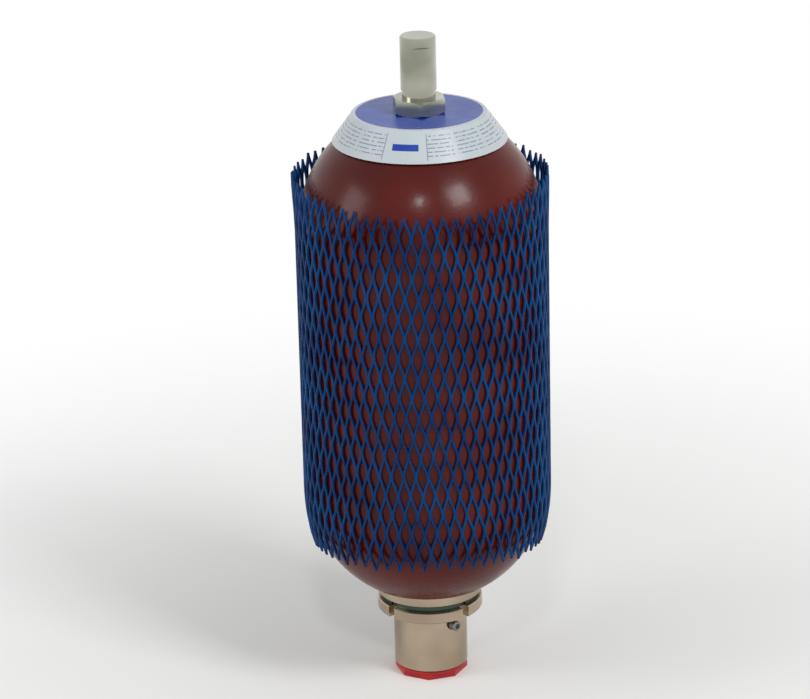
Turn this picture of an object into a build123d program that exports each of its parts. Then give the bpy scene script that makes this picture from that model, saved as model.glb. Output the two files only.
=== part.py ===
"""Hydraulic bladder accumulator, about 12 litres, standing on the plug of its fluid port.

Frame: millimetres, +Z up along the vessel's axis, origin at the centre of the plug's foot.
Angles round the axis are counted from the front (-Y) towards the right (+X).
Threads are plain cylinders, and every height is worked out upwards from the foot.
"""

import math
import os

from build123d import *

os.makedirs("parts", exist_ok=True)

# --- clearances -----------------------------------------------------------------------------
THREAD_FIT = 0.1      # radial gap of a threaded pair
GUIDE_FIT = 0.05      # radial gap of a sliding guide
MOVING_GAP = 0.3      # gap between pieces that move past each other

# --- vessel ---------------------------------------------------------------------------------
SHELL_R = 114.0
WALL = 9.0
BARREL = 254.0
PORT_FACE_DROP = 96.0       # port face below the lower dome's centre
PORT_HOLE_R = 45.0
PORT_NECK = 21.0
GAS_FACE_RISE = 108.0       # gas face above the upper dome's centre
GAS_NECK = 22.0
GAS_HOLE_GAP = 0.5

# --- fluid port -----------------------------------------------------------------------------
PORT_R = 35.0
PORT_BARREL = 56.0
PORT_EDGE = 1.5
PORT_NECK_R = 37.0
PORT_THREAD_R = 28.3
PORT_THREAD_DEPTH = 30.0
PASSAGE_R = 26.0
PORT_FLANGE_R = 44.5
PORT_FLANGE = 8.0
GUIDE_DROP = 30.0           # guide's top below the port's flange
GUIDE_THICKNESS = 14.0
FLOW_HOLES = 6
FLOW_HOLE_R = 5.5
FLOW_CIRCLE_R = 19.0

# --- ring nut, spacer and seals -------------------------------------------------------------
RING_R = 50.0
RING_EDGE = 0.8
NUT_GAP = 2.0               # port's shoulder to the nut's foot
NUT_HEIGHT = 17.0
NUT_STEP = 6.0
NUT_STEP_R = 46.0
SLOT_COUNT = 4
SLOT_WIDTH = 7.5
SLOT_DEPTH = 5.5
SLOT_ANGLE = 42.0
SPACER_HEIGHT = 14.0
WASHER_THICKNESS = 3.0
BACKUP_THICKNESS = 3.0
O_RING_HEIGHT = 8.6
EXTRUSION_RING_R = 56.0
EXTRUSION_RING = 12.0
EXTRUSION_RING_EDGE = 3.0

# --- poppet ---------------------------------------------------------------------------------
POPPET_STEM_R = 6.0
POPPET_LIFT = 13.0
POPPET_HEAD_R = 33.0
POPPET_CONE_R = 25.5
POPPET_RIM = 1.5
POPPET_CROWN = 8.0
POPPET_SPIGOT = 3.0
POPPET_SPIGOT_R = 15.0
SPRING_WIRE_R = 1.25
SPRING_MEAN_R = 11.0
SPRING_TURNS = 6.0
BUSH_R = 12.0
BUSH_HEIGHT = 8.0
POPPET_NUT_AF = 18.0
POPPET_NUT_HEIGHT = 8.0
POPPET_STEM_END = 2.0
STEM_CHAMFER = 1.0

# --- bleed screw ----------------------------------------------------------------------------
BLEED_ANGLE = 36.0
BLEED_HEIGHT = 48.0         # above the port's foot
BLEED_HEAD_R = 4.8
BLEED_HEAD = 7.4
BLEED_HEAD_EDGE = 0.5
BLEED_SOCKET_AF = 5.0
BLEED_SOCKET_DEPTH = 3.5
BLEED_SHANK_R = 3.0
BLEED_SHANK = 7.0
BLEED_SEAL_R = 5.4
BLEED_SEAL = 1.2
SPOT_FACE_R = 6.0
SPOT_FACE_DEPTH = 0.8

# --- transport plug -------------------------------------------------------------------------
PLUG_SIDES = 8
PLUG_CORNER_R = 34.5
PLUG_TURN = -5.0
PLUG_HEAD = 5.4
PLUG_FLANGE_R = 34.0
PLUG_FLANGE = 2.6
PLUG_SPIGOT = 14.0
PLUG_WALL = 2.5

# --- gas side -------------------------------------------------------------------------------
STEM_R = 15.0
STEM_FLANGE_R = 30.0
STEM_FLANGE = 6.0
GAS_BORE_R = 4.0
CAP_THREAD_R = 11.0
CAP_THREAD = 19.0
VALVE_THREAD_R = 6.0
VALVE_THREAD = 14.0
VALVE_HEX_AF = 17.0
VALVE_HEX = 7.0
VALVE_NOSE_R = 6.0
VALVE_NOSE = 9.0
CORE_HOLE_R = 2.6
CORE_SHELF = 3.0            # material the pin is guided in
PIN_R = 1.0
PIN_HEAD_R = 1.8
PIN_HEAD = 1.2
PIN_TRAVEL = 1.5
PIN_TAIL = 6.0
SEAL_CAP_R = 8.8
SEAL_CAP_RIBS = 16
SEAL_CAP_RIB_R = 0.7
SEAL_CAP_TOP = 3.4

PLATE_THICKNESS = 2.0
PLATE_TOP_R = 61.7
PLATE_R = 80.4
PLATE_DROP = 26.0
PLATE_BEND = 2.5
STEM_NUT_AF = 45.0
STEM_NUT = 14.0
STEM_NUT_TURN = 6.0
NUT_CHAMFER_ANGLE = 30.0

CAP_R = 16.5
CAP_LENGTH = 57.4
CAP_COLLAR_R = 15.5
CAP_COLLAR = 7.0
CAP_TOP = 7.0
CAP_EDGE = 1.2
CAP_FLAT_AF = 28.0
CAP_FLAT = 6.8
CAP_FLAT_DROP = 2.4
CAP_FLAT_ANGLE = 14.0
CAP_RING_R = 1.4
CAP_RING_SEAT_R = 14.4

# --- bladder --------------------------------------------------------------------------------
BLADDER_R = 88.0
BLADDER_WALL = 3.0
BLADDER_COLLAR_R = 36.0
BLADDER_FOOT_GAP = 30.0     # bladder's foot above the open poppet
BLADDER_SHOULDER = 76.0
BLADDER_TAPER = 140.0

# --- protective net -------------------------------------------------------------------------
NET_THICKNESS = 3.6
NET_ABOVE = 50.0
NET_BELOW = 51.0
NET_FLARE = 0.9
NET_DRAW_IN = 6.6
NET_COLUMNS = 20
NET_ROWS = 6
NET_STRAND = 9.0
NET_KNOT = 12.0

# --- heights, from the foot upwards ---------------------------------------------------------
z_port = PLUG_HEAD + PLUG_FLANGE
z_shoulder = z_port + PORT_BARREL
z_nut = z_shoulder + NUT_GAP
z_spacer = z_nut + NUT_HEIGHT
z_shell = z_spacer + SPACER_HEIGHT
z_neck_inside = z_shell + PORT_NECK
z_washer = z_neck_inside - WASHER_THICKNESS
z_o_ring = z_washer - O_RING_HEIGHT
z_backup = z_o_ring - BACKUP_THICKNESS
z_port_flange = z_neck_inside + EXTRUSION_RING
z_port_top = z_port_flange + PORT_FLANGE
z_guide_top = z_port_flange - GUIDE_DROP
z_guide = z_guide_top - GUIDE_THICKNESS

z_low_centre = z_shell + PORT_FACE_DROP
z_high_centre = z_low_centre + BARREL
z_gas_face = z_high_centre + GAS_FACE_RISE
z_gas_inside = z_gas_face - GAS_NECK
z_stem_flange = z_gas_inside - STEM_FLANGE
z_plate_top = z_gas_face + PLATE_THICKNESS
z_cap = z_plate_top + STEM_NUT
z_cap_top = z_cap + CAP_LENGTH
z_stem_top = z_cap + CAP_THREAD
z_hex_top = z_stem_top + VALVE_HEX
z_nose_top = z_hex_top + VALVE_NOSE

z_cone = z_port_top - (PORT_FLANGE + PASSAGE_R - POPPET_CONE_R) + MOVING_GAP + POPPET_LIFT
z_rim = z_cone + POPPET_HEAD_R - POPPET_CONE_R
z_crown = z_rim + POPPET_RIM + POPPET_CROWN
z_spring_top = z_cone - POPPET_SPIGOT
z_bush_top = z_guide - MOVING_GAP
z_bush = z_bush_top - BUSH_HEIGHT
z_poppet_nut = z_bush - POPPET_NUT_HEIGHT

inner_r = SHELL_R - WALL
bleed_z = z_port + BLEED_HEIGHT


def outward_plane(angle, height, radius):
    """Plane at this angle from the front whose normal points away from the axis."""
    turn = math.radians(angle)
    outwards = Vector(math.sin(turn), -math.cos(turn), 0)
    return Plane(outwards * radius + Vector(0, 0, height), x_dir=(0, 0, 1), z_dir=outwards)


def hexagon_nut(across_flats, bore_r, foot, height, turn):
    """A hexagon nut, both faces chamfered by a cone, turned this far from a flat front."""
    corner_r = across_flats / math.sqrt(3)
    rise = (corner_r - across_flats / 2) * math.tan(math.radians(NUT_CHAMFER_ANGLE))
    with BuildPart() as nut:
        with BuildSketch(Plane.XY.offset(foot)):
            RegularPolygon(across_flats / 2, 6, major_radius=False, rotation=30 + turn)
        extrude(amount=height)
        with BuildSketch(Plane.XZ):
            with BuildLine():
                Polyline(
                    (bore_r, foot),
                    (across_flats / 2, foot),
                    (corner_r, foot + rise),
                    (corner_r, foot + height - rise),
                    (across_flats / 2, foot + height),
                    (bore_r, foot + height),
                    close=True,
                )
            make_face()
        revolve(axis=Axis.Z, mode=Mode.INTERSECT)
    return nut.part


# --- shell: forged vessel, round at both ends, with a thickened neck at each hole -------------
port_face_r = math.sqrt(SHELL_R**2 - PORT_FACE_DROP**2)
gas_face_r = math.sqrt(SHELL_R**2 - GAS_FACE_RISE**2)
port_inside_r = math.sqrt(inner_r**2 - (z_low_centre - z_neck_inside) ** 2)
gas_inside_r = math.sqrt(inner_r**2 - (z_gas_inside - z_high_centre) ** 2)
port_face_angle = math.degrees(math.asin(PORT_FACE_DROP / SHELL_R))
gas_face_angle = math.degrees(math.asin(GAS_FACE_RISE / SHELL_R))
port_inside_angle = math.degrees(math.acos(port_inside_r / inner_r))
gas_inside_angle = math.degrees(math.acos(gas_inside_r / inner_r))
with BuildPart() as shell:
    with BuildSketch(Plane.XZ):
        with BuildLine():
            Line((PORT_HOLE_R, z_shell), (port_face_r, z_shell))
            CenterArc((0, z_low_centre), SHELL_R, -port_face_angle, port_face_angle)
            Line((SHELL_R, z_low_centre), (SHELL_R, z_high_centre))
            CenterArc((0, z_high_centre), SHELL_R, 0, gas_face_angle)
            Polyline(
                (gas_face_r, z_gas_face),
                (STEM_R + GAS_HOLE_GAP, z_gas_face),
                (STEM_R + GAS_HOLE_GAP, z_gas_inside),
                (gas_inside_r, z_gas_inside),
            )
            CenterArc((0, z_high_centre), inner_r, 0, gas_inside_angle)
            Line((inner_r, z_high_centre), (inner_r, z_low_centre))
            CenterArc((0, z_low_centre), inner_r, -port_inside_angle, port_inside_angle)
            Polyline(
                (port_inside_r, z_neck_inside),
                (PORT_HOLE_R, z_neck_inside),
                (PORT_HOLE_R, z_shell),
            )
        make_face()
    revolve(axis=Axis.Z)
shell.part.label = "shell"
export_step(shell.part, "parts/shell.step")

# --- fluid port body: barrel, neck, flange with the poppet's seat, and the stem's guide -------
with BuildPart() as port_body:
    with BuildSketch(Plane.XZ):
        with BuildLine():
            Polyline(
                (PORT_THREAD_R, z_port),
                (PORT_R - PORT_EDGE, z_port),
                (PORT_R, z_port + PORT_EDGE),
                (PORT_R, z_shoulder),
                (PORT_NECK_R, z_shoulder),
                (PORT_NECK_R, z_port_flange),
                (PORT_FLANGE_R, z_port_flange),
                (PORT_FLANGE_R, z_port_top),
                (PASSAGE_R + PORT_FLANGE, z_port_top),
                (PASSAGE_R, z_port_flange),
                (PASSAGE_R, z_guide_top),
                (POPPET_STEM_R + GUIDE_FIT, z_guide_top),
                (POPPET_STEM_R + GUIDE_FIT, z_guide),
                (PASSAGE_R, z_guide),
                (PASSAGE_R, z_port + PORT_THREAD_DEPTH),
                (PORT_THREAD_R, z_port + PORT_THREAD_DEPTH),
                close=True,
            )
        make_face()
    revolve(axis=Axis.Z)
    with BuildSketch(Plane.XY.offset(z_guide)):
        with PolarLocations(FLOW_CIRCLE_R, FLOW_HOLES):
            Circle(FLOW_HOLE_R)
    extrude(amount=GUIDE_THICKNESS, mode=Mode.SUBTRACT)
    with BuildSketch(outward_plane(BLEED_ANGLE, bleed_z, PORT_R - SPOT_FACE_DEPTH)):
        Circle(SPOT_FACE_R)
    extrude(amount=SPOT_FACE_R, mode=Mode.SUBTRACT)
    with BuildSketch(outward_plane(BLEED_ANGLE, bleed_z, PORT_R)):
        Circle(BLEED_SHANK_R + THREAD_FIT)
    extrude(amount=-(PORT_R - PASSAGE_R + 1), mode=Mode.SUBTRACT)
port_body.part.label = "port_body"
export_step(port_body.part, "parts/port_body.step")

# --- ring nut: slotted for a hook spanner, with a turned step at its top ----------------------
with BuildPart() as ring_nut:
    with BuildSketch(Plane.XZ):
        with BuildLine():
            Polyline(
                (PORT_NECK_R + THREAD_FIT, z_nut),
                (RING_R - RING_EDGE, z_nut),
                (RING_R, z_nut + RING_EDGE),
                (RING_R, z_spacer - NUT_STEP - RING_EDGE),
                (RING_R - RING_EDGE, z_spacer - NUT_STEP),
                (NUT_STEP_R, z_spacer - NUT_STEP),
                (NUT_STEP_R, z_spacer),
                (PORT_NECK_R + THREAD_FIT, z_spacer),
                close=True,
            )
        make_face()
    revolve(axis=Axis.Z)
    with BuildSketch(Plane.XY.offset(z_nut)):
        with PolarLocations(RING_R - SLOT_DEPTH, SLOT_COUNT, start_angle=SLOT_ANGLE - 90):
            Rectangle(RING_R, SLOT_WIDTH, align=(Align.MIN, Align.CENTER))
    extrude(amount=NUT_HEIGHT, mode=Mode.SUBTRACT)
ring_nut.part.label = "ring_nut"
export_step(ring_nut.part, "parts/ring_nut.step")

# --- spacer ring: bears on the vessel and presses the seals into its neck ---------------------
with BuildPart() as spacer_ring:
    with BuildSketch(Plane.XZ):
        with BuildLine():
            Polyline(
                (PORT_NECK_R + THREAD_FIT, z_spacer),
                (RING_R - RING_EDGE, z_spacer),
                (RING_R, z_spacer + RING_EDGE),
                (RING_R, z_shell),
                (PORT_HOLE_R - THREAD_FIT, z_shell),
                (PORT_HOLE_R - THREAD_FIT, z_backup),
                (PORT_NECK_R + THREAD_FIT, z_backup),
                close=True,
            )
        make_face()
    revolve(axis=Axis.Z)
spacer_ring.part.label = "spacer_ring"
export_step(spacer_ring.part, "parts/spacer_ring.step")

# --- seals in the neck: backup ring, squeezed O-ring and washer -------------------------------
with BuildPart() as backup_ring:
    with BuildSketch(Plane.XY.offset(z_backup)):
        Circle(PORT_HOLE_R - THREAD_FIT)
        Circle(PORT_NECK_R + THREAD_FIT, mode=Mode.SUBTRACT)
    extrude(amount=BACKUP_THICKNESS)
backup_ring.part.label = "backup_ring"
export_step(backup_ring.part, "parts/backup_ring.step")

with BuildPart() as port_o_ring:
    with BuildSketch(Plane.XZ):
        with Locations(((PORT_NECK_R + PORT_HOLE_R) / 2, z_o_ring + O_RING_HEIGHT / 2)):
            Circle(O_RING_HEIGHT / 2)
            Rectangle(PORT_HOLE_R - PORT_NECK_R, O_RING_HEIGHT, mode=Mode.INTERSECT)
    revolve(axis=Axis.Z)
port_o_ring.part.label = "port_o_ring"
export_step(port_o_ring.part, "parts/port_o_ring.step")

with BuildPart() as seal_washer:
    with BuildSketch(Plane.XY.offset(z_washer)):
        Circle(PORT_HOLE_R - THREAD_FIT)
        Circle(PORT_NECK_R + THREAD_FIT, mode=Mode.SUBTRACT)
    extrude(amount=WASHER_THICKNESS)
seal_washer.part.label = "seal_washer"
export_step(seal_washer.part, "parts/seal_washer.step")

# --- anti-extrusion ring: holds the port's flange off the vessel's inner face -----------------
with BuildPart() as anti_extrusion_ring:
    with BuildSketch(Plane.XY.offset(z_neck_inside)):
        Circle(EXTRUSION_RING_R)
        Circle(PORT_NECK_R + THREAD_FIT, mode=Mode.SUBTRACT)
    extrude(amount=EXTRUSION_RING)
    chamfer(
        anti_extrusion_ring.edges().group_by(Axis.Z)[-1].sort_by(SortBy.RADIUS)[-1],
        EXTRUSION_RING_EDGE,
    )
anti_extrusion_ring.part.label = "anti_extrusion_ring"
export_step(anti_extrusion_ring.part, "parts/anti_extrusion_ring.step")

# --- poppet, shown open: crowned head, cone that meets the seat, and a long stem --------------
stem_foot = z_poppet_nut - POPPET_STEM_END
with BuildPart() as poppet:
    with BuildSketch(Plane.XZ):
        with BuildLine():
            Polyline(
                (0, z_crown),
                (0, stem_foot),
                (POPPET_STEM_R - STEM_CHAMFER, stem_foot),
                (POPPET_STEM_R, stem_foot + STEM_CHAMFER),
                (POPPET_STEM_R, z_spring_top),
                (POPPET_SPIGOT_R, z_spring_top),
                (POPPET_CONE_R, z_cone),
                (POPPET_HEAD_R, z_rim),
                (POPPET_HEAD_R, z_rim + POPPET_RIM),
            )
            TangentArc((0, z_crown), (POPPET_HEAD_R, z_rim + POPPET_RIM), tangent=(1, 0))
        make_face()
    revolve(axis=Axis.Z)
poppet.part.label = "poppet"
export_step(poppet.part, "parts/poppet.step")

# --- poppet spring: open coil between the guide and the head ----------------------------------
coil_foot = z_guide_top + SPRING_WIRE_R
coil_length = z_spring_top - z_guide_top - 2 * SPRING_WIRE_R
with BuildPart() as poppet_spring:
    with BuildLine():
        coil = Helix(
            pitch=coil_length / SPRING_TURNS,
            height=coil_length,
            radius=SPRING_MEAN_R,
            center=(0, 0, coil_foot),
        )
    with BuildSketch(Plane(origin=coil @ 0, z_dir=coil % 0)):
        Circle(SPRING_WIRE_R)
    sweep(path=coil, is_frenet=True)
poppet_spring.part.label = "poppet_spring"
export_step(poppet_spring.part, "parts/poppet_spring.step")

# --- brake bush and self-locking nut on the poppet's stem -------------------------------------
with BuildPart() as brake_bush:
    with BuildSketch(Plane.XY.offset(z_bush)):
        Circle(BUSH_R)
        Circle(POPPET_STEM_R, mode=Mode.SUBTRACT)
    extrude(amount=BUSH_HEIGHT)
brake_bush.part.label = "brake_bush"
export_step(brake_bush.part, "parts/brake_bush.step")

poppet_nut = hexagon_nut(POPPET_NUT_AF, POPPET_STEM_R, z_poppet_nut, POPPET_NUT_HEIGHT, 0)
poppet_nut.label = "poppet_nut"
export_step(poppet_nut, "parts/poppet_nut.step")

# --- bleed screw with its seal, set radially in the port's barrel -----------------------------
bleed_seat = outward_plane(BLEED_ANGLE, bleed_z, PORT_R - SPOT_FACE_DEPTH)
under_head = bleed_seat.offset(BLEED_SEAL)
with BuildPart() as bleed_screw:
    with BuildSketch(under_head):
        Circle(BLEED_HEAD_R)
    extrude(amount=BLEED_HEAD)
    chamfer(bleed_screw.faces().sort_by(Axis(under_head.origin, under_head.z_dir))[-1].edges(),
            BLEED_HEAD_EDGE)
    with BuildSketch(under_head):
        Circle(BLEED_SHANK_R)
    extrude(amount=-BLEED_SHANK)
    with BuildSketch(under_head.offset(BLEED_HEAD)):
        RegularPolygon(BLEED_SOCKET_AF / 2, 6, major_radius=False)
    extrude(amount=-BLEED_SOCKET_DEPTH, mode=Mode.SUBTRACT)
bleed_screw.part.label = "bleed_screw"
export_step(bleed_screw.part, "parts/bleed_screw.step")

with BuildPart() as bleed_seal:
    with BuildSketch(bleed_seat):
        Circle(BLEED_SEAL_R)
        Circle(BLEED_SHANK_R + THREAD_FIT, mode=Mode.SUBTRACT)
    extrude(amount=BLEED_SEAL)
bleed_seal.part.label = "bleed_seal"
export_step(bleed_seal.part, "parts/bleed_seal.step")

# --- port plug: eight-sided foot, round flange and a hollow spigot in the port's thread -------
with BuildPart() as port_plug:
    with BuildSketch(Plane.XY):
        RegularPolygon(PLUG_CORNER_R, PLUG_SIDES, rotation=PLUG_TURN - 90)
    extrude(amount=PLUG_HEAD)
    with BuildSketch(Plane.XY.offset(PLUG_HEAD)):
        Circle(PLUG_FLANGE_R)
    extrude(amount=PLUG_FLANGE)
    with BuildSketch(Plane.XY.offset(z_port)):
        Circle(PORT_THREAD_R - THREAD_FIT)
        Circle(PORT_THREAD_R - THREAD_FIT - PLUG_WALL, mode=Mode.SUBTRACT)
    extrude(amount=PLUG_SPIGOT)
port_plug.part.label = "port_plug"
export_step(port_plug.part, "parts/port_plug.step")

# --- gas stem: flange moulded into the bladder, nut thread, cap thread and gas bore -----------
with BuildPart() as gas_stem:
    with BuildSketch(Plane.XZ):
        with BuildLine():
            Polyline(
                (GAS_BORE_R, z_stem_flange),
                (STEM_FLANGE_R, z_stem_flange),
                (STEM_FLANGE_R, z_gas_inside),
                (STEM_R, z_gas_inside),
                (STEM_R, z_cap),
                (CAP_THREAD_R, z_cap),
                (CAP_THREAD_R, z_stem_top - STEM_CHAMFER),
                (CAP_THREAD_R - STEM_CHAMFER, z_stem_top),
                (VALVE_THREAD_R, z_stem_top),
                (VALVE_THREAD_R, z_stem_top - VALVE_THREAD),
                (GAS_BORE_R, z_stem_top - VALVE_THREAD),
                close=True,
            )
        make_face()
    revolve(axis=Axis.Z)
gas_stem.part.label = "gas_stem"
export_step(gas_stem.part, "parts/gas_stem.step")

# --- bladder, relaxed: a collar round the stem's flange and a bag that narrows to its foot ----
z_bag = z_crown + BLADDER_FOOT_GAP
z_shoulder_line = z_stem_flange - BLADDER_SHOULDER
z_taper_line = z_bag + BLADDER_TAPER
bag_inner_r = BLADDER_R - BLADDER_WALL
collar_angle = math.degrees(math.acos(BLADDER_COLLAR_R / BLADDER_R))
collar_z = z_shoulder_line + BLADDER_SHOULDER * math.sin(math.radians(collar_angle))
pad_angle = math.degrees(math.acos(STEM_FLANGE_R / bag_inner_r))
pad_rise = (BLADDER_SHOULDER - BLADDER_WALL) * math.sin(math.radians(pad_angle))
pad_z = z_shoulder_line + pad_rise
with BuildPart() as bladder:
    with BuildSketch(Plane.XZ):
        with BuildLine():
            Polyline(
                (0, z_bag),
                (0, z_gas_inside),
                (BLADDER_COLLAR_R, z_gas_inside),
                (BLADDER_COLLAR_R, collar_z),
            )
            EllipticalCenterArc(
                (0, z_shoulder_line), BLADDER_R, BLADDER_SHOULDER, start_angle=0, arc_size=collar_angle
            )
            Line((BLADDER_R, z_shoulder_line), (BLADDER_R, z_taper_line))
            Spline((BLADDER_R, z_taper_line), (0, z_bag), tangents=[(0, -1), (-1, 0)])
        make_face()
    revolve(axis=Axis.Z)
    with BuildSketch(Plane.XZ):
        with BuildLine():
            Polyline((0, z_bag + BLADDER_WALL), (0, pad_z), (STEM_FLANGE_R, pad_z))
            EllipticalCenterArc(
                (0, z_shoulder_line),
                bag_inner_r,
                BLADDER_SHOULDER - BLADDER_WALL,
                start_angle=0,
                arc_size=pad_angle,
            )
            Line((bag_inner_r, z_shoulder_line), (bag_inner_r, z_taper_line))
            Spline(
                (bag_inner_r, z_taper_line), (0, z_bag + BLADDER_WALL), tangents=[(0, -1), (-1, 0)]
            )
        make_face()
    revolve(axis=Axis.Z, mode=Mode.SUBTRACT)
    with BuildSketch(Plane.XY.offset(z_stem_flange)):
        Circle(STEM_FLANGE_R)
    extrude(amount=STEM_FLANGE, mode=Mode.SUBTRACT)
    with BuildSketch(Plane.XY.offset(z_stem_flange)):
        Circle(GAS_BORE_R)
    extrude(amount=pad_z - z_stem_flange, mode=Mode.SUBTRACT)
bladder.part.label = "bladder"
export_step(bladder.part, "parts/bladder.step")

# --- name plate: pressed dish whose flat top is clamped and whose skirt hangs over the dome ---
skirt_slope = math.atan2(PLATE_R - PLATE_TOP_R, PLATE_DROP)
skirt_across = PLATE_THICKNESS / math.cos(skirt_slope)
skirt_inset = PLATE_THICKNESS * math.tan(math.pi / 4 - skirt_slope / 2)
with BuildPart() as nameplate:
    with BuildSketch(Plane.XZ):
        with BuildLine():
            Polyline(
                (STEM_R + GAS_HOLE_GAP, z_plate_top),
                (PLATE_TOP_R, z_plate_top),
                (PLATE_R, z_plate_top - PLATE_DROP),
                (PLATE_R - skirt_across, z_plate_top - PLATE_DROP),
                (PLATE_TOP_R - skirt_inset, z_gas_face),
                (STEM_R + GAS_HOLE_GAP, z_gas_face),
                close=True,
            )
        make_face()
    revolve(axis=Axis.Z)
    fillet(nameplate.edges().group_by(Axis.Z)[-1].sort_by(SortBy.RADIUS)[-1], PLATE_BEND)
nameplate.part.label = "nameplate"
export_step(nameplate.part, "parts/nameplate.step")

# --- stem nut: clamps the plate and the stem to the vessel ------------------------------------
stem_nut = hexagon_nut(STEM_NUT_AF, STEM_R + THREAD_FIT, z_plate_top, STEM_NUT, STEM_NUT_TURN)
stem_nut.label = "stem_nut"
export_step(stem_nut, "parts/stem_nut.step")

# --- gas valve: screwed into the stem, with a hexagon and a nose for the charging tool --------
z_pin_shelf = z_nose_top - PIN_HEAD - PIN_TRAVEL - MOVING_GAP
with BuildPart() as gas_valve:
    with BuildSketch(Plane.XZ):
        with BuildLine():
            Polyline(
                (CORE_HOLE_R, z_stem_top - VALVE_THREAD),
                (VALVE_THREAD_R - THREAD_FIT, z_stem_top - VALVE_THREAD),
                (VALVE_THREAD_R - THREAD_FIT, z_stem_top),
                (VALVE_NOSE_R, z_stem_top),
                (VALVE_NOSE_R, z_nose_top - STEM_CHAMFER),
                (VALVE_NOSE_R - STEM_CHAMFER, z_nose_top),
                (CORE_HOLE_R, z_nose_top),
                (CORE_HOLE_R, z_pin_shelf),
                (PIN_R + GUIDE_FIT, z_pin_shelf),
                (PIN_R + GUIDE_FIT, z_pin_shelf - CORE_SHELF),
                (CORE_HOLE_R, z_pin_shelf - CORE_SHELF),
                close=True,
            )
        make_face()
    revolve(axis=Axis.Z)
    with BuildSketch(Plane.XY.offset(z_stem_top)):
        RegularPolygon(VALVE_HEX_AF / 2, 6, major_radius=False)
        Circle(VALVE_NOSE_R, mode=Mode.SUBTRACT)
    extrude(amount=VALVE_HEX)
gas_valve.part.label = "gas_valve"
export_step(gas_valve.part, "parts/gas_valve.step")

# --- valve pin: pushed down by the charging tool to open the valve ----------------------------
z_pin_head = z_nose_top - PIN_HEAD
with BuildPart() as valve_pin:
    with BuildSketch(Plane.XY.offset(z_pin_shelf - CORE_SHELF - PIN_TAIL)):
        Circle(PIN_R)
    extrude(amount=z_pin_head - z_pin_shelf + CORE_SHELF + PIN_TAIL)
    with BuildSketch(Plane.XY.offset(z_pin_head)):
        Circle(PIN_HEAD_R)
    extrude(amount=PIN_HEAD)
valve_pin.part.label = "valve_pin"
export_step(valve_pin.part, "parts/valve_pin.step")

# --- seal cap: small screw cap over the valve's nose, ribbed for the fingers ------------------
with BuildPart() as valve_seal_cap:
    with BuildSketch(Plane.XY.offset(z_hex_top)):
        Circle(SEAL_CAP_R)
        with PolarLocations(SEAL_CAP_R, SEAL_CAP_RIBS):
            Circle(SEAL_CAP_RIB_R)
    extrude(amount=VALVE_NOSE + MOVING_GAP + SEAL_CAP_TOP)
    with BuildSketch(Plane.XY.offset(z_hex_top)):
        Circle(VALVE_NOSE_R + THREAD_FIT)
    extrude(amount=VALVE_NOSE + MOVING_GAP, mode=Mode.SUBTRACT)
valve_seal_cap.part.label = "valve_seal_cap"
export_step(valve_seal_cap.part, "parts/valve_seal_cap.step")

# --- protection cap: polished collar, long barrel, blind bore and two spanner flats -----------
z_ring_seat = z_cap + 2 * CAP_RING_R + MOVING_GAP
with BuildPart() as protection_cap:
    with BuildSketch(Plane.XZ):
        with BuildLine():
            Polyline(
                (CAP_RING_SEAT_R, z_cap),
                (CAP_COLLAR_R, z_cap),
                (CAP_COLLAR_R, z_cap + CAP_COLLAR),
                (CAP_R, z_cap + CAP_COLLAR),
                (CAP_R, z_cap_top - CAP_EDGE),
                (CAP_R - CAP_EDGE, z_cap_top),
                (0, z_cap_top),
                (0, z_cap_top - CAP_TOP),
                (CAP_THREAD_R + THREAD_FIT, z_cap_top - CAP_TOP),
                (CAP_THREAD_R + THREAD_FIT, z_ring_seat),
                (CAP_RING_SEAT_R, z_ring_seat),
                close=True,
            )
        make_face()
    revolve(axis=Axis.Z)
    with BuildSketch(Plane.XY.offset(z_cap_top - CAP_FLAT_DROP - CAP_FLAT)):
        with PolarLocations(CAP_FLAT_AF / 2, 2, start_angle=CAP_FLAT_ANGLE - 90):
            Rectangle(CAP_R, 2 * CAP_R, align=(Align.MIN, Align.CENTER))
    extrude(amount=CAP_FLAT, mode=Mode.SUBTRACT)
protection_cap.part.label = "protection_cap"
export_step(protection_cap.part, "parts/protection_cap.step")

with BuildPart() as cap_o_ring:
    with BuildSketch(Plane.XZ):
        with Locations((CAP_THREAD_R + CAP_RING_R + GUIDE_FIT, z_cap + CAP_RING_R)):
            Circle(CAP_RING_R)
    revolve(axis=Axis.Z)
cap_o_ring.part.label = "cap_o_ring"
export_step(cap_o_ring.part, "parts/cap_o_ring.step")

# --- protective net: sleeve of diamond mesh, drawn in over the lower dome ---------------------
net_r = SHELL_R + NET_THICKNESS
z_net = z_low_centre - NET_BELOW
z_net_top = z_high_centre + NET_ABOVE
net_row = (z_net_top - z_net) / (NET_ROWS + 1)
half_width = math.pi * net_r / NET_COLUMNS - NET_STRAND / 2
half_height = net_row - NET_KNOT / 2
with BuildPart() as net_sleeve:
    with BuildSketch(Plane.XZ):
        with BuildLine():
            TangentArc((SHELL_R, z_low_centre), (SHELL_R - NET_DRAW_IN, z_net), tangent=(0, -1))
            Line((SHELL_R - NET_DRAW_IN, z_net), (net_r - NET_DRAW_IN, z_net))
            TangentArc((net_r, z_low_centre), (net_r - NET_DRAW_IN, z_net), tangent=(0, -1))
            Polyline(
                (net_r, z_low_centre),
                (net_r, z_high_centre),
                (net_r + NET_FLARE, z_net_top),
                (SHELL_R + NET_FLARE, z_net_top),
                (SHELL_R, z_high_centre),
                (SHELL_R, z_low_centre),
            )
        make_face()
    revolve(axis=Axis.Z)
    for half_column in range(NET_COLUMNS):
        levels = range(half_column % 2, NET_ROWS + 2, 2)
        with BuildSketch(outward_plane(half_column * 180 / NET_COLUMNS, z_net, -2 * net_r)):
            with Locations(*[(level * net_row, 0) for level in levels]):
                Polygon((-half_height, 0), (0, -half_width), (half_height, 0), (0, half_width))
        extrude(amount=4 * net_r, mode=Mode.SUBTRACT)
net_sleeve.part.label = "net_sleeve"
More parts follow.
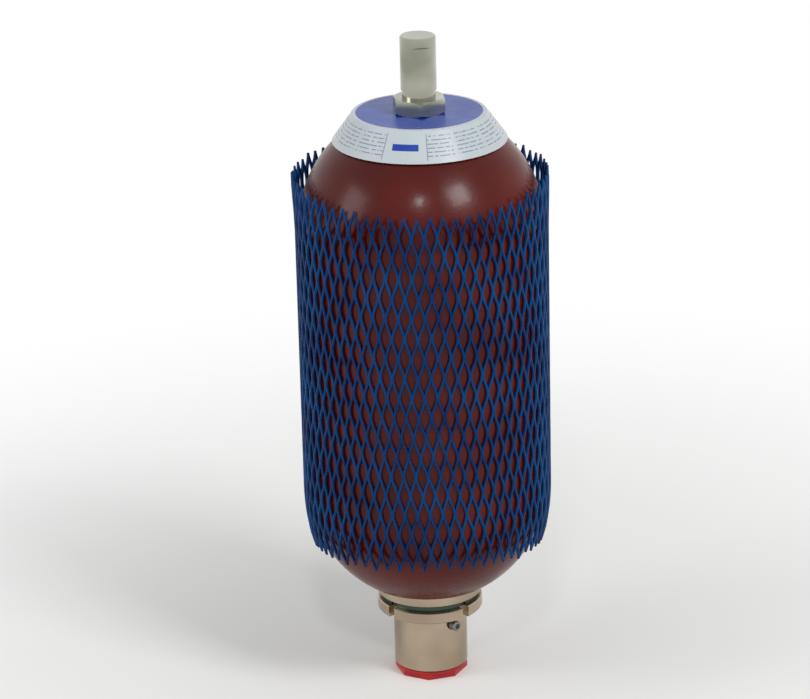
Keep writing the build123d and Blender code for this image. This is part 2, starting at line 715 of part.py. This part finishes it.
export_step(net_sleeve.part, "parts/net_sleeve.step")
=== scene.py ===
"""Dresses the bladder accumulator: finishes for every piece, the fine mesh sleeve, and the studio."""

import logging
import math
from dataclasses import dataclass, field, replace
from enum import Enum
from typing import Callable

import bpy
import numpy as np
from mathutils import Euler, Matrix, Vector


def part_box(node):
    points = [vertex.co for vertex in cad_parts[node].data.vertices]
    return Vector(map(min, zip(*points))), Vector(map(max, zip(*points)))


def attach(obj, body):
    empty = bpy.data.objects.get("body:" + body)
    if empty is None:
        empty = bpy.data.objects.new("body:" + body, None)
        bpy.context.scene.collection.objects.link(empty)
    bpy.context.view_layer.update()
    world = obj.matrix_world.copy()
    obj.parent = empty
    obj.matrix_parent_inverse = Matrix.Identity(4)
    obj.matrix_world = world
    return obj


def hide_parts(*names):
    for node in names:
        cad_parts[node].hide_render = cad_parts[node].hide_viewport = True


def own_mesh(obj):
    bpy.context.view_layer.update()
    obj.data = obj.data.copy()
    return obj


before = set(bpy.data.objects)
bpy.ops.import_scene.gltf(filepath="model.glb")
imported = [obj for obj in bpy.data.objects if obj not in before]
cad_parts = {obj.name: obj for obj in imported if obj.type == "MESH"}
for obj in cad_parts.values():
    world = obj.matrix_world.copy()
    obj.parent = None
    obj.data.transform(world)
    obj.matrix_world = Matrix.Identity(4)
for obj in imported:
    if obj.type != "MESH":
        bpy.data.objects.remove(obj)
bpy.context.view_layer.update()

logging.basicConfig(level=logging.INFO, format="%(name)s: %(message)s")
log = logging.getLogger("accumulator")

Colour = tuple[float, float, float]
SEED = 11


class Turning(Enum):
    """How the tool marks run on a machined piece."""

    ROUND_THE_AXIS = "rings at equal heights"
    NONE = "no marks"


def linear(red: int, green: int, blue: int) -> Colour:
    """Turns a display colour into the linear one that a shader takes.

    Args:
        red: Red, 0 to 255.
        green: Green, 0 to 255.
        blue: Blue, 0 to 255.

    Returns:
        The three linear channels, 0 to 1.
    """
    shares = np.array([red, green, blue], float) / 255.0
    low = shares / 12.92
    high = ((shares + 0.055) / 1.055) ** 2.4
    return tuple(float(v) for v in np.where(shares <= 0.04045, low, high))


@dataclass
class NodeGraph:
    """A material's node tree with short calls for the nodes that the finishes share."""

    name: str
    material: bpy.types.Material = field(init=False)
    shader: bpy.types.ShaderNodeBsdfPrincipled = field(init=False)

    def __post_init__(self) -> None:
        """Makes the material with its principled shader."""
        self.material = bpy.data.materials.new(self.name)
        self.material.use_nodes = True
        self.shader = self.material.node_tree.nodes["Principled BSDF"]

    def add(self, kind: str, **settings: object) -> bpy.types.Node:
        """Adds a node and sets its properties.

        Args:
            kind: Node type, without the ShaderNode prefix.
            settings: Properties of the node by name.

        Returns:
            The new node.
        """
        node = self.material.node_tree.nodes.new("ShaderNode" + kind)
        for name, value in settings.items():
            setattr(node, name, value)
        return node

    def link(self, source: bpy.types.NodeSocket, target: bpy.types.NodeSocket) -> None:
        """Links an output to an input."""
        self.material.node_tree.links.new(source, target)

    def put(self, value: object, socket: bpy.types.NodeSocket) -> None:
        """Links a socket to an input, or sets the input where the value is a plain one.

        Args:
            value: An output socket, a number or a colour.
            socket: The input to feed.
        """
        if isinstance(value, bpy.types.NodeSocket):
            self.link(value, socket)
        else:
            socket.default_value = value

    def place(self) -> bpy.types.NodeSocket:
        """Gives the object coordinates, in metres."""
        return self.add("TexCoord").outputs["Object"]

    def maths(self, operation: str, *values: object) -> bpy.types.NodeSocket:
        """Adds a maths node.

        Args:
            operation: The operation's name.
            values: Its inputs, as sockets or numbers.

        Returns:
            The result's socket.
        """
        node = self.add("Math", operation=operation)
        for socket, value in zip(node.inputs, values):
            self.put(value, socket)
        return node.outputs[0]

    def between(self, value: object, low: float, high: float) -> bpy.types.NodeSocket:
        """Gives 1 where the value lies between two limits, and 0 elsewhere."""
        return self.maths(
            "MULTIPLY",
            self.maths("GREATER_THAN", value, low),
            self.maths("LESS_THAN", value, high),
        )

    def radius(self, across: object, along: object) -> bpy.types.NodeSocket:
        """Gives the distance from the upright axis."""
        squares = (self.maths("MULTIPLY", side, side) for side in (across, along))
        return self.maths("SQRT", self.maths("ADD", *squares))

    def noise(self, scale: float, stretch: Colour = (1, 1, 1), detail: float = 3.0) -> bpy.types.NodeSocket:
        """Adds noise on the object coordinates.

        Args:
            scale: Noise scale, in cycles a metre.
            stretch: Scale factor along each axis.
            detail: Noise detail.

        Returns:
            The noise value's socket, about 0.5 on average.
        """
        mapping = self.add("Mapping")
        mapping.inputs["Scale"].default_value = stretch
        self.link(self.place(), mapping.inputs["Vector"])
        texture = self.add("TexNoise")
        texture.inputs["Scale"].default_value = scale
        texture.inputs["Detail"].default_value = detail
        self.link(mapping.outputs[0], texture.inputs["Vector"])
        return texture.outputs["Fac"]

    def ramp(self, value: bpy.types.NodeSocket, low: float, high: float) -> bpy.types.NodeSocket:
        """Spreads a noise value over a range.

        Args:
            value: The socket to spread, with its use between 0.3 and 0.7.
            low: Result at 0.3 and below.
            high: Result at 0.7 and above.

        Returns:
            The result's socket.
        """
        node = self.add("MapRange")
        node.inputs["From Min"].default_value = 0.3
        node.inputs["From Max"].default_value = 0.7
        node.inputs["To Min"].default_value = low
        node.inputs["To Max"].default_value = high
        self.link(value, node.inputs["Value"])
        return node.outputs["Result"]

    def mix(self, share: object, first: object, second: object) -> bpy.types.NodeSocket:
        """Mixes two colours.

        Args:
            share: Share of the second colour, a socket or number.
            first: Colour or socket.
            second: Colour or socket.

        Returns:
            The mixed colour's socket.
        """
        node = self.add("Mix", data_type="RGBA")
        self.put(share, node.inputs["Factor"])
        for value, socket in ((first, node.inputs["A"]), (second, node.inputs["B"])):
            self.put((*value, 1.0) if isinstance(value, tuple) else value, socket)
        return node.outputs["Result"]

    def bump(self, height: bpy.types.NodeSocket, distance: float, strength: float = 1.0) -> None:
        """Feeds a height to the shader's normal.

        Args:
            height: Height socket, 0 to 1.
            distance: Real height of a full step, in metres.
            strength: Bump strength.
        """
        node = self.add("Bump")
        node.inputs["Strength"].default_value = strength
        node.inputs["Distance"].default_value = distance
        self.link(height, node.inputs["Height"])
        self.link(node.outputs[0], self.shader.inputs["Normal"])


@dataclass(frozen=True)
class PaintFinish:
    """Semi-gloss primer paint, brushed or sprayed over forged steel."""

    name: str = "primer_paint"
    light: Colour = linear(88, 20, 12)
    deep: Colour = linear(62, 10, 7)
    grime: Colour = linear(46, 18, 14)
    roughness: tuple[float, float] = (0.22, 0.32)

    def build(self) -> bpy.types.Material:
        """Makes the paint: cloudy colour, faint orange peel and small pits under a gloss."""
        graph = NodeGraph(self.name)
        clouds = graph.ramp(graph.noise(9.0), 0.0, 1.0)
        colour = graph.mix(clouds, self.light, self.deep)
        specks = graph.maths("GREATER_THAN", graph.noise(260.0, detail=1.0), 0.72)
        colour = graph.mix(graph.maths("MULTIPLY", specks, 0.5), colour, self.grime)
        graph.link(colour, graph.shader.inputs["Base Color"])
        graph.link(graph.ramp(graph.noise(40.0), *self.roughness), graph.shader.inputs["Roughness"])
        graph.shader.inputs["Specular IOR Level"].default_value = 0.14
        graph.shader.inputs["Coat Weight"].default_value = 0.08
        graph.shader.inputs["Coat Roughness"].default_value = 0.14
        graph.bump(graph.noise(330.0), 0.00025, 0.35)
        return graph.material


@dataclass(frozen=True)
class MetalFinish:
    """Turned or drawn metal with its plating's clouding."""

    name: str
    light: Colour
    dark: Colour
    roughness: tuple[float, float] = (0.22, 0.38)
    turning: Turning = Turning.ROUND_THE_AXIS
    mark_height: float = 0.00003
    stretch: float = 0.0
    # painted shade: foot height and radius of a recess whose colour is darkened to stand in for shade
    painted_shade_recess: tuple[float, float] | None = None
    # the darker colour painted into the recess as shade
    painted_shade_tone: Colour = linear(70, 82, 76)

    def build(self) -> bpy.types.Material:
        """Makes the metal: clouded colour, scattered gloss, and tool marks as fine rings.

        Fine rings spread a highlight along the axis, by the stretch. A recess, given as its
        foot's height and its radius, gets painted shade: a darker colour for the shade in it.

        Returns:
            The material.
        """
        graph = NodeGraph(self.name)
        clouds = graph.ramp(graph.noise(26.0, detail=1.5), 0.0, 1.0)
        colour = graph.mix(clouds, self.light, self.dark)
        # painted shade: darker colour above the foot and inside the radius, where shade falls in the recess
        if self.painted_shade_recess is not None:
            foot, radius = self.painted_shade_recess
            split = graph.add("SeparateXYZ")
            graph.link(graph.place(), split.inputs[0])
            across, along, height = split.outputs
            from_axis = graph.radius(across, along)
            painted_shade_mask = graph.maths("MULTIPLY", graph.maths("GREATER_THAN", height, foot),
                                 graph.maths("LESS_THAN", from_axis, radius))
            colour = graph.mix(painted_shade_mask, colour, self.painted_shade_tone)
        graph.link(colour, graph.shader.inputs["Base Color"])
        if self.stretch:
            tangent = graph.add("Tangent", direction_type="RADIAL", axis="Z")
            graph.link(tangent.outputs[0], graph.shader.inputs["Tangent"])
            graph.shader.inputs["Anisotropic"].default_value = self.stretch
        graph.shader.inputs["Metallic"].default_value = 1.0
        gloss = graph.ramp(graph.noise(60.0, (1, 1, 12)), *self.roughness)
        graph.link(gloss, graph.shader.inputs["Roughness"])
        if self.turning is Turning.ROUND_THE_AXIS:
            graph.bump(graph.noise(30.0, (1, 1, 70), 4.0), self.mark_height, 0.6)
        else:
            graph.bump(graph.noise(500.0), self.mark_height, 0.4)
        return graph.material


@dataclass(frozen=True)
class PlasticFinish:
    """Moulded or extruded plastic, or rubber where it is dark and rough."""

    name: str
    light: Colour
    dark: Colour
    roughness: tuple[float, float]
    subsurface: float = 0.0
    grain: float = 420.0
    grain_height: float = 0.00005
    specular: float = 0.5

    def build(self) -> bpy.types.Material:
        """Makes the plastic: slight colour drift, uneven gloss and a fine moulded grain."""
        graph = NodeGraph(self.name)
        drift = graph.ramp(graph.noise(24.0), 0.0, 1.0)
        graph.link(graph.mix(drift, self.light, self.dark), graph.shader.inputs["Base Color"])
        graph.link(graph.ramp(graph.noise(90.0), *self.roughness), graph.shader.inputs["Roughness"])
        graph.shader.inputs["Specular IOR Level"].default_value = self.specular
        graph.shader.inputs["Subsurface Weight"].default_value = self.subsurface
        graph.shader.inputs["Subsurface Scale"].default_value = 0.002
        graph.bump(graph.noise(self.grain), self.grain_height, 0.5)
        return graph.material


@dataclass(frozen=True)
class PlateFinish:
    """Printed sheet: blue top, bare rim, and a pale skirt with rows of small bars and a panel."""

    top_z: float
    skirt_z: float
    rim_r: float
    skirt_r: float
    name: str = "printed_plate"
    blue: Colour = linear(16, 54, 144)
    white: Colour = linear(176, 184, 188)
    ink: Colour = linear(118, 130, 148)
    row_pitch: float = 0.0031
    bar_pitch: float = 0.0017
    panel_angle: float = math.radians(-11.0)
    panel_half: float = math.radians(16.0)
    top_depth: float = 0.0004
    rim_width: float = 0.0034
    columns: float = 14.0
    bar_share: float = 0.22
    sheet_shade: Colour = linear(158, 166, 172)

    def build(self) -> bpy.types.Material:
        """Makes the print from the height, the radius and the angle round the axis.

        Returns:
            The material. The bars' lengths come from white noise on their row and place.
        """
        graph = NodeGraph(self.name)
        split = graph.add("SeparateXYZ")
        graph.link(graph.place(), split.inputs[0])
        across, along, height = split.outputs
        radius = graph.radius(across, along)
        angle = graph.maths("ARCTAN2", across, graph.maths("MULTIPLY", along, -1.0))
        on_top = graph.maths("GREATER_THAN", height, self.top_z - self.top_depth)
        inside_rim = graph.maths("LESS_THAN", radius, self.rim_r - self.rim_width)
        blue_field = graph.maths("MULTIPLY", on_top, inside_rim)

        drop = graph.maths("DIVIDE", graph.maths("SUBTRACT", self.top_z, height), self.top_z - self.skirt_z)
        rows = graph.maths("MULTIPLY", drop, (self.top_z - self.skirt_z) / self.row_pitch)
        row_gap = graph.between(graph.maths("FRACT", rows), 0.38, 0.66)
        place = graph.maths("MULTIPLY", angle, self.skirt_r / self.bar_pitch)
        cell = graph.add("CombineXYZ")
        graph.link(graph.maths("FLOOR", place), cell.inputs[0])
        graph.link(graph.maths("FLOOR", rows), cell.inputs[1])
        chance = graph.add("TexWhiteNoise", noise_dimensions="3D")
        graph.link(cell.outputs[0], chance.inputs["Vector"])
        bar = graph.maths("GREATER_THAN", chance.outputs["Value"], self.bar_share)
        bars = graph.maths("MULTIPLY", row_gap, bar)

        column = graph.maths("FRACT", graph.maths("MULTIPLY", angle, self.columns / (2 * math.pi)))
        bars = graph.maths("MULTIPLY", bars, graph.between(column, 0.06, 0.94))
        bars = graph.maths("MULTIPLY", bars, graph.between(drop, 0.16, 0.88))
        bars = graph.maths("MULTIPLY", bars, graph.maths("SUBTRACT", 1.0, on_top))

        off_centre = graph.maths("ABSOLUTE", graph.maths("SUBTRACT", angle, self.panel_angle))
        panel = graph.maths("LESS_THAN", off_centre, self.panel_half)
        frame_line = graph.between(off_centre, self.panel_half - 0.012, self.panel_half)
        band = graph.maths("MULTIPLY", graph.between(drop, 0.42, 0.62),
                           graph.maths("LESS_THAN", off_centre, self.panel_half * 0.6))
        bars = graph.maths("MULTIPLY", bars, graph.maths("SUBTRACT", 1.0, panel))
        lines = graph.maths("MULTIPLY", frame_line, graph.between(drop, 0.12, 0.9))
        ink = graph.maths("MAXIMUM", bars, lines)

        sheet = graph.mix(graph.ramp(graph.noise(30.0), 0.0, 0.25), self.white, self.sheet_shade)
        skirt = graph.mix(ink, sheet, self.ink)
        low_band = graph.maths("MULTIPLY", band, graph.maths("SUBTRACT", 1.0, on_top))
        skirt = graph.mix(low_band, skirt, self.blue)
        graph.link(graph.mix(blue_field, skirt, self.blue), graph.shader.inputs["Base Color"])
        graph.shader.inputs["Specular IOR Level"].default_value = 0.3
        graph.link(graph.ramp(graph.noise(60.0), 0.24, 0.34), graph.shader.inputs["Roughness"])
        graph.shader.inputs["Coat Weight"].default_value = 0.06
        graph.bump(graph.noise(120.0), 0.00006, 0.4)
        return graph.material


def tube(name: str, points: np.ndarray, material: bpy.types.Material) -> bpy.types.Object:
    """Makes closed tubes from their sections' points, and rides them on the vessel.

    Each section is joined to the next by quads, point to point, and both ends are capped.

    Args:
        name: The piece's name.
        points: Points by tube, step, place in the section, and axis, in metres.
        material: The finish.

    Returns:
        The tubes, as one mesh.
    """
    number = np.arange(points[..., 0].size).reshape(points.shape[:3])
    here, above = number[:, :-1], number[:, 1:]
    quads = np.stack((here, np.roll(here, -1, 2), np.roll(above, -1, 2), above), axis=-1).reshape(-1, 4)
    caps = np.concatenate((number[:, 0, ::-1], number[:, -1])).tolist()
    mesh = bpy.data.meshes.new(name)
    mesh.from_pydata(points.reshape(-1, 3).tolist(), [], quads.tolist() + caps)
    mesh.polygons.foreach_set("use_smooth", np.ones(len(mesh.polygons), bool))
    mesh.update()
    piece = bpy.data.objects.new(name, mesh)
    bpy.context.scene.collection.objects.link(piece)
    piece.data.materials.append(material)
    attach(piece, "vessel")
    return piece


def dress(node: str, material: bpy.types.Material) -> None:
    """Gives a CAD node its material and reports it.

    Args:
        node: The node's name.
        material: The finish.
    """
    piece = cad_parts[node]
    piece.data.materials.clear()
    piece.data.materials.append(material)
    log.info("%s wears %s", node, material.name)


@dataclass
class Vessel:
    """The forged shell and the rubber bladder inside it."""

    paint: PaintFinish = PaintFinish()
    rubber: PlasticFinish = PlasticFinish(
        "bladder_rubber", linear(34, 34, 36), linear(22, 22, 24), (0.55, 0.75)
    )

    def dress(self) -> None:
        """Paints the shell and blackens the bladder."""
        dress("shell", self.paint.build())
        dress("bladder", self.rubber.build())


@dataclass
class MeshSleeve:
    """The protective sleeve: strands that run up the barrel and weld to each neighbour in turn."""

    strands: int = 124
    rows: int = 18
    steps_per_row: int = 6
    section_points: int = 6
    half_width: float = 0.0015
    half_depth: float = 0.0017
    tip_drop_front: float = 0.010
    foot_rise_front: float = 0.010
    flare: float = 0.0016
    draw_in: float = 0.0062
    lower_dome_rise: float = 0.096
    upper_dome_drop: float = 0.108
    finish: PlasticFinish = PlasticFinish(
        "sleeve_plastic", linear(0, 60, 112), linear(0, 30, 76), (0.42, 0.56), 0.0, 300.0, 0.00008, 0.12
    )

    def route(self) -> tuple[np.ndarray, np.ndarray, np.ndarray, np.ndarray]:
        """Works out the strands' centre lines.

        The angle of strand k at share t of its height is its pitch times k plus half a
        cosine of t over the rows, with the sign changing from strand to strand, so
        neighbours meet at each row. The height runs between an upper and a lower edge
        that dip towards the front. The radius is the barrel's plus half the depth,
        drawn in over the lower dome and flared at the top.

        Returns:
            Angle, radius and height, each strands by steps, and the share of height.
        """
        low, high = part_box("net_sleeve")
        shell_low, shell_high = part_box("shell")
        barrel_r = (shell_high[0] - shell_low[0]) / 2
        rng = np.random.default_rng(SEED)
        share = np.linspace(0.0, 1.0, self.rows * self.steps_per_row + 1)
        index = np.arange(self.strands)
        t, k = np.meshgrid(share, index)
        sign = np.where(k % 2 == 0, 1.0, -1.0)
        pitch = 2 * math.pi / self.strands
        sway = 0.44 * sign * np.cos(math.pi * self.rows * t)
        drift = 0.25 * np.sin(2 * math.pi * (t * 1.3 + rng.uniform(size=(1, 1))) + 3 * k * pitch)
        angle = pitch * (k + 0.5 + sway + drift)
        front = np.clip(np.cos(k * pitch), 0.0, 1.0) ** 1.5
        pair_jitter = np.repeat(rng.normal(0.0, 0.0012, self.strands // 2), 2)[:, None]
        top = high[2] + 0.004 - self.tip_drop_front * front + pair_jitter
        foot = low[2] - 0.004 + self.foot_rise_front * front + pair_jitter
        height = foot + (top - foot) * t
        centre_low = shell_low[2] + self.lower_dome_rise
        centre_high = shell_high[2] - self.upper_dome_drop
        below = np.clip((centre_low - height) / (centre_low - low[2]), 0.0, 1.2)
        above = np.clip((height - centre_high) / (high[2] - centre_high), 0.0, 1.2)
        lean = 0.0012 * np.sin(3 * k * pitch + 1.0) * above**2
        radius = barrel_r + self.half_depth - self.draw_in * below**2 + self.flare * above + lean
        return angle, radius, height, t

    def build(self) -> bpy.types.Object:
        """Carries an oval section along every centre line and closes both ends.

        A point of the section stands off the centre line by the half width times the
        cosine along the wall and the half depth times the sine outwards; both shrink
        over the last half row, so the tips are thinner.

        Returns:
            The sleeve, as one mesh.
        """
        angle, radius, height, share = self.route()
        turn = np.linspace(0.0, 2 * math.pi, self.section_points, endpoint=False)
        edge = np.minimum(share, 1 - share) * self.rows * 2
        thin = 0.62 + 0.38 * np.clip(edge, 0.0, 1.0)
        aside = self.half_width * thin[..., None] * np.cos(turn)
        outwards = self.half_depth * thin[..., None] * np.sin(turn)
        r = radius[..., None] + outwards
        a = angle[..., None] + aside / radius[..., None]
        level = np.broadcast_to(height[..., None], r.shape)
        points = np.stack((r * np.sin(a), -r * np.cos(a), level), axis=-1)
        sleeve = tube("net_strands", points, self.finish.build())
        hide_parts("net_sleeve")
        log.info("sleeve of %d strands, %d faces", self.strands, len(sleeve.data.polygons))
        return sleeve


@dataclass
class PoppetCoil:
    """The poppet's spring: a round wire wound from the guide's face up to the poppet."""

    turns: float = 6.0
    steps_per_turn: int = 64
    section_points: int = 14
    wire_r: float = 0.00125
    travel: float = 0.013
    finish: MetalFinish = MetalFinish(
        "spring_wire", linear(120, 122, 126), linear(92, 94, 98), (0.3, 0.45), Turning.NONE
    )

    def build(self) -> bpy.types.Object:
        """Carries a round section along the helix.

        The helix fills the box of the CAD coil.

        Returns:
            The coil, as one closed mesh.
        """
        low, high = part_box("poppet_spring")
        mean_r = (high[0] - low[0]) / 2 - self.wire_r
        foot, top = low[2] + self.wire_r, high[2] - self.wire_r
        share = np.linspace(0.0, 1.0, int(self.turns * self.steps_per_turn) + 1)
        angle = 2 * math.pi * self.turns * share
        outwards = np.stack((np.cos(angle), np.sin(angle), np.zeros_like(angle)), axis=-1)
        centre = outwards * mean_r + np.stack((angle * 0, angle * 0, foot + (top - foot) * share), axis=-1)
        around = 2 * math.pi * self.turns * mean_r
        rise = np.full_like(angle, top - foot)
        along = np.stack((-np.sin(angle) * around, np.cos(angle) * around, rise), axis=-1)
        along /= np.linalg.norm(along, axis=1, keepdims=True)
        across = np.cross(along, outwards)
        turn = np.linspace(0.0, 2 * math.pi, self.section_points, endpoint=False)
        ring = np.cos(turn)[None, :, None] * outwards[:, None] + np.sin(turn)[None, :, None] * across[:, None]
        points = centre[:, None] + self.wire_r * ring
        coil = tube("poppet_coil", points[None], self.finish.build())
        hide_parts("poppet_spring")
        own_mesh(coil)
        return coil


@dataclass
class GasSide:
    """Everything above the shell: plate, nut, stem, valve and caps."""

    zinc: MetalFinish = MetalFinish(
        "zinc_plating", linear(192, 192, 178), linear(140, 142, 128), (0.14, 0.22), stretch=0.4
    )
    brass: MetalFinish = MetalFinish("turned_brass", linear(214, 182, 110), linear(190, 154, 84))
    bright: MetalFinish = MetalFinish("bright_steel", linear(204, 206, 208), linear(176, 178, 182))
    rubber: PlasticFinish = PlasticFinish("seal_rubber", linear(30, 30, 30), linear(20, 20, 20), (0.4, 0.6))
    skirt_across: float = 0.0187

    def dress(self) -> None:
        """Prints the plate and plates the steel."""
        low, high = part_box("nameplate")
        rim_r = (high[0] - low[0]) / 2 - self.skirt_across
        plate = PlateFinish(top_z=high[2], skirt_z=low[2], rim_r=rim_r, skirt_r=(high[0] - low[0]) / 2)
        dress("nameplate", plate.build())
        zinc = self.zinc.build()
        for node in ("protection_cap", "stem_nut", "gas_stem"):
            dress(node, zinc)
        brass = self.brass.build()
        for node in ("gas_valve", "valve_seal_cap"):
            dress(node, brass)
        dress("valve_pin", self.bright.build())
        dress("cap_o_ring", self.rubber.build())


@dataclass
class FluidPort:
    """Everything below the shell: port body, rings, seals, poppet, bleed screw and plug."""

    satin: MetalFinish = MetalFinish(
        "satin_steel", linear(190, 173, 152), linear(166, 149, 128), (0.2, 0.28), stretch=0.7
    )
    # height and radius of the ring nut's turned step, inside which shade is painted
    shade_step_rise: float = 0.0062
    shade_step_r: float = 0.0467
    bright: MetalFinish = MetalFinish("poppet_steel", linear(200, 202, 204), linear(170, 172, 176))
    dark: MetalFinish = MetalFinish(
        "screw_steel", linear(150, 150, 146), linear(104, 104, 102), (0.3, 0.5), Turning.NONE
    )
    brass: MetalFinish = MetalFinish("bush_brass", linear(210, 178, 108), linear(186, 150, 82))
    rubber: PlasticFinish = PlasticFinish("port_rubber", linear(30, 30, 30), linear(20, 20, 20), (0.4, 0.6))
    backup: PlasticFinish = PlasticFinish(
        "backup_plastic", linear(226, 222, 208), linear(210, 206, 190), (0.35, 0.5)
    )
    plug: PlasticFinish = PlasticFinish(
        "plug_plastic", linear(178, 4, 16), linear(146, 2, 11), (0.26, 0.38), 0.04
    )

    def dress(self) -> None:
        """Gives each piece its finish, one material a finish."""
        # the ring nut's step and slots get painted shade: a darker colour in the recess
        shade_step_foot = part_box("ring_nut")[1][2] - self.shade_step_rise
        shaded_slotted_satin = replace(self.satin, name="slotted_steel_painted_shade", painted_shade_recess=(shade_step_foot, self.shade_step_r))
        finishes = {
            self.satin: ("port_body", "spacer_ring"),
            shaded_slotted_satin: ("ring_nut",),
            self.bright: ("poppet", "poppet_nut", "seal_washer"),
            self.dark: ("bleed_screw",),
            self.brass: ("brake_bush",),
            self.rubber: ("port_o_ring", "anti_extrusion_ring", "bleed_seal"),
            self.backup: ("backup_ring",),
            self.plug: ("port_plug",),
        }
        for finish, nodes in finishes.items():
            material = finish.build()
            for node in nodes:
                dress(node, material)


@dataclass
class Studio:
    """Pale floor and world, soft lamps and the camera."""

    distance: float = 3.2
    pitch: float = math.radians(20.3)
    aim_height: float = 0.3257
    aim_left: float = -0.0182
    roll: float = math.radians(-1.4)
    focal_mm: float = 152.2
    floor_half: float = 6.0
    fade_from: float = 0.15
    fade_to: float = 1.1

    def build(self) -> None:
        """Builds the floor, the world, the lamps and the camera."""
        self.build_floor()
        self.build_world()
        self.build_lamp("key_lamp", (1.5, -1.5, 2.2), 0.8, 40.0)
        self.build_lamp("front_lamp", (-0.1, -2.6, 2.6), 0.3, 16.0)
        self.build_lamp("side_lamp", (-2.2, -0.6, 1.4), 1.0, 16.0)
        self.build_camera()

    def build_floor(self) -> None:
        """Lays a pale square floor at the object's foot."""
        edge = self.floor_half
        corners = [(-edge, -edge, 0.0), (edge, -edge, 0.0), (edge, edge, 0.0), (-edge, edge, 0.0)]
        mesh = bpy.data.meshes.new("floor")
        mesh.from_pydata(corners, [], [(0, 1, 2, 3)])
        floor = bpy.data.objects.new("floor", mesh)
        bpy.context.scene.collection.objects.link(floor)
        graph = NodeGraph("pale_floor")
        graph.link(
            graph.mix(graph.ramp(graph.noise(3.0), 0.0, 1.0), (0.80, 0.80, 0.79), (0.78, 0.78, 0.77)),
            graph.shader.inputs["Base Color"],
        )
        graph.shader.inputs["Roughness"].default_value = 0.7
        self.fade_floor(graph)
        floor.data.materials.append(graph.material)

    def fade_floor(self, graph: NodeGraph) -> None:
        """Turns the floor to plain white away from the object, as the eye and gloss see it.

        The white's share grows with the distance from the axis, from none to whole.

        Args:
            graph: The floor's material.
        """
        distance = graph.add("VectorMath", operation="LENGTH")
        graph.link(graph.place(), distance.inputs[0])
        fade = graph.add("MapRange", interpolation_type="SMOOTHSTEP")
        fade.inputs["From Min"].default_value = self.fade_from
        fade.inputs["From Max"].default_value = self.fade_to
        graph.link(distance.outputs["Value"], fade.inputs["Value"])
        path = graph.add("LightPath")
        seen = graph.maths("MAXIMUM", path.outputs["Is Camera Ray"], path.outputs["Is Glossy Ray"])
        seen = graph.maths("MAXIMUM", seen, path.outputs["Is Transmission Ray"])
        share = graph.maths("MULTIPLY", fade.outputs["Result"], seen)
        glow = graph.add("Emission")
        glow.inputs["Strength"].default_value = 1.0
        blend = graph.add("MixShader")
        output = graph.material.node_tree.nodes["Material Output"]
        graph.link(share, blend.inputs[0])
        graph.link(graph.shader.outputs[0], blend.inputs[1])
        graph.link(glow.outputs[0], blend.inputs[2])
        graph.link(blend.outputs[0], output.inputs["Surface"])

    def build_world(self) -> None:
        """Lights softly, more from the sides than from the front, and is white to the eye.

        The strength grows with the sideways part of the direction, so round metal shows
        a darker middle between two bright flanks.
        """
        world = bpy.data.worlds.new("studio_world")
        bpy.context.scene.world = world
        world.use_nodes = True
        tree = world.node_tree
        background = tree.nodes["Background"]
        background.inputs["Color"].default_value = (1.0, 1.0, 1.0, 1.0)
        path = tree.nodes.new("ShaderNodeLightPath")
        strength = tree.nodes.new("ShaderNodeMapRange")
        strength.inputs["To Max"].default_value = 1.0
        direction = tree.nodes.new("ShaderNodeTexCoord")
        split = tree.nodes.new("ShaderNodeSeparateXYZ")
        sideways = tree.nodes.new("ShaderNodeMath")
        sideways.operation = "ABSOLUTE"
        flanks = tree.nodes.new("ShaderNodeMapRange")
        flanks.inputs["To Min"].default_value = 0.32
        flanks.inputs["To Max"].default_value = 0.85
        tree.links.new(direction.outputs["Generated"], split.inputs[0])
        tree.links.new(split.outputs["X"], sideways.inputs[0])
        tree.links.new(sideways.outputs[0], flanks.inputs["Value"])
        tree.links.new(flanks.outputs["Result"], strength.inputs["To Min"])
        seen = path.outputs["Is Camera Ray"]
        for ray in ("Is Glossy Ray", "Is Transmission Ray"):
            either = tree.nodes.new("ShaderNodeMath")
            either.operation = "MAXIMUM"
            tree.links.new(seen, either.inputs[0])
            tree.links.new(path.outputs[ray], either.inputs[1])
            seen = either.outputs[0]
        tree.links.new(seen, strength.inputs["Value"])
        tree.links.new(strength.outputs["Result"], background.inputs["Strength"])

    def build_lamp(self, name: str, place: Colour, size: float, power: float) -> None:
        """Hangs a square lamp that points at the object.

        Args:
            name: The lamp's name.
            place: Its place, in metres.
            size: Its side, in metres.
            power: Its power, in watts.
        """
        light = bpy.data.lights.new(name, "AREA")
        light.size = size
        light.energy = power
        lamp = bpy.data.objects.new(name, light)
        lamp.location = place
        towards = Vector((0, 0, self.aim_height)) - Vector(place)
        lamp.rotation_euler = towards.to_track_quat("-Z", "Y").to_euler()
        bpy.context.scene.collection.objects.link(lamp)

    def build_camera(self) -> None:
        """Sets the camera in front, above, and turned a little about its own line of sight."""
        camera_data = bpy.data.cameras.new("camera")
        camera_data.lens = self.focal_mm
        camera_data.sensor_width = 36.0
        camera_data.clip_end = 50.0
        camera = bpy.data.objects.new("camera", camera_data)
        camera.location = (
            self.aim_left,
            -self.distance * math.cos(self.pitch),
            self.aim_height + self.distance * math.sin(self.pitch),
        )
        look = Euler((math.pi / 2 - self.pitch, 0.0, 0.0)).to_matrix()
        camera.rotation_euler = (look @ Euler((0.0, 0.0, self.roll)).to_matrix()).to_euler()
        bpy.context.scene.collection.objects.link(camera)
        bpy.context.scene.camera = camera
        bpy.context.scene.view_settings.view_transform = "Standard"


def main() -> None:
    """Dresses each sub-assembly, builds the sleeve and the studio."""
    steps: list[tuple[str, Callable[[], object]]] = [
        ("vessel", Vessel().dress),
        ("gas side", GasSide().dress),
        ("fluid port", FluidPort().dress),
        ("poppet coil", PoppetCoil().build),
        ("mesh sleeve", MeshSleeve().build),
        ("studio", Studio().build),
    ]
    for name, step in steps:
        step()
        log.info("%s done", name)


if __name__ == "__main__":
    main()
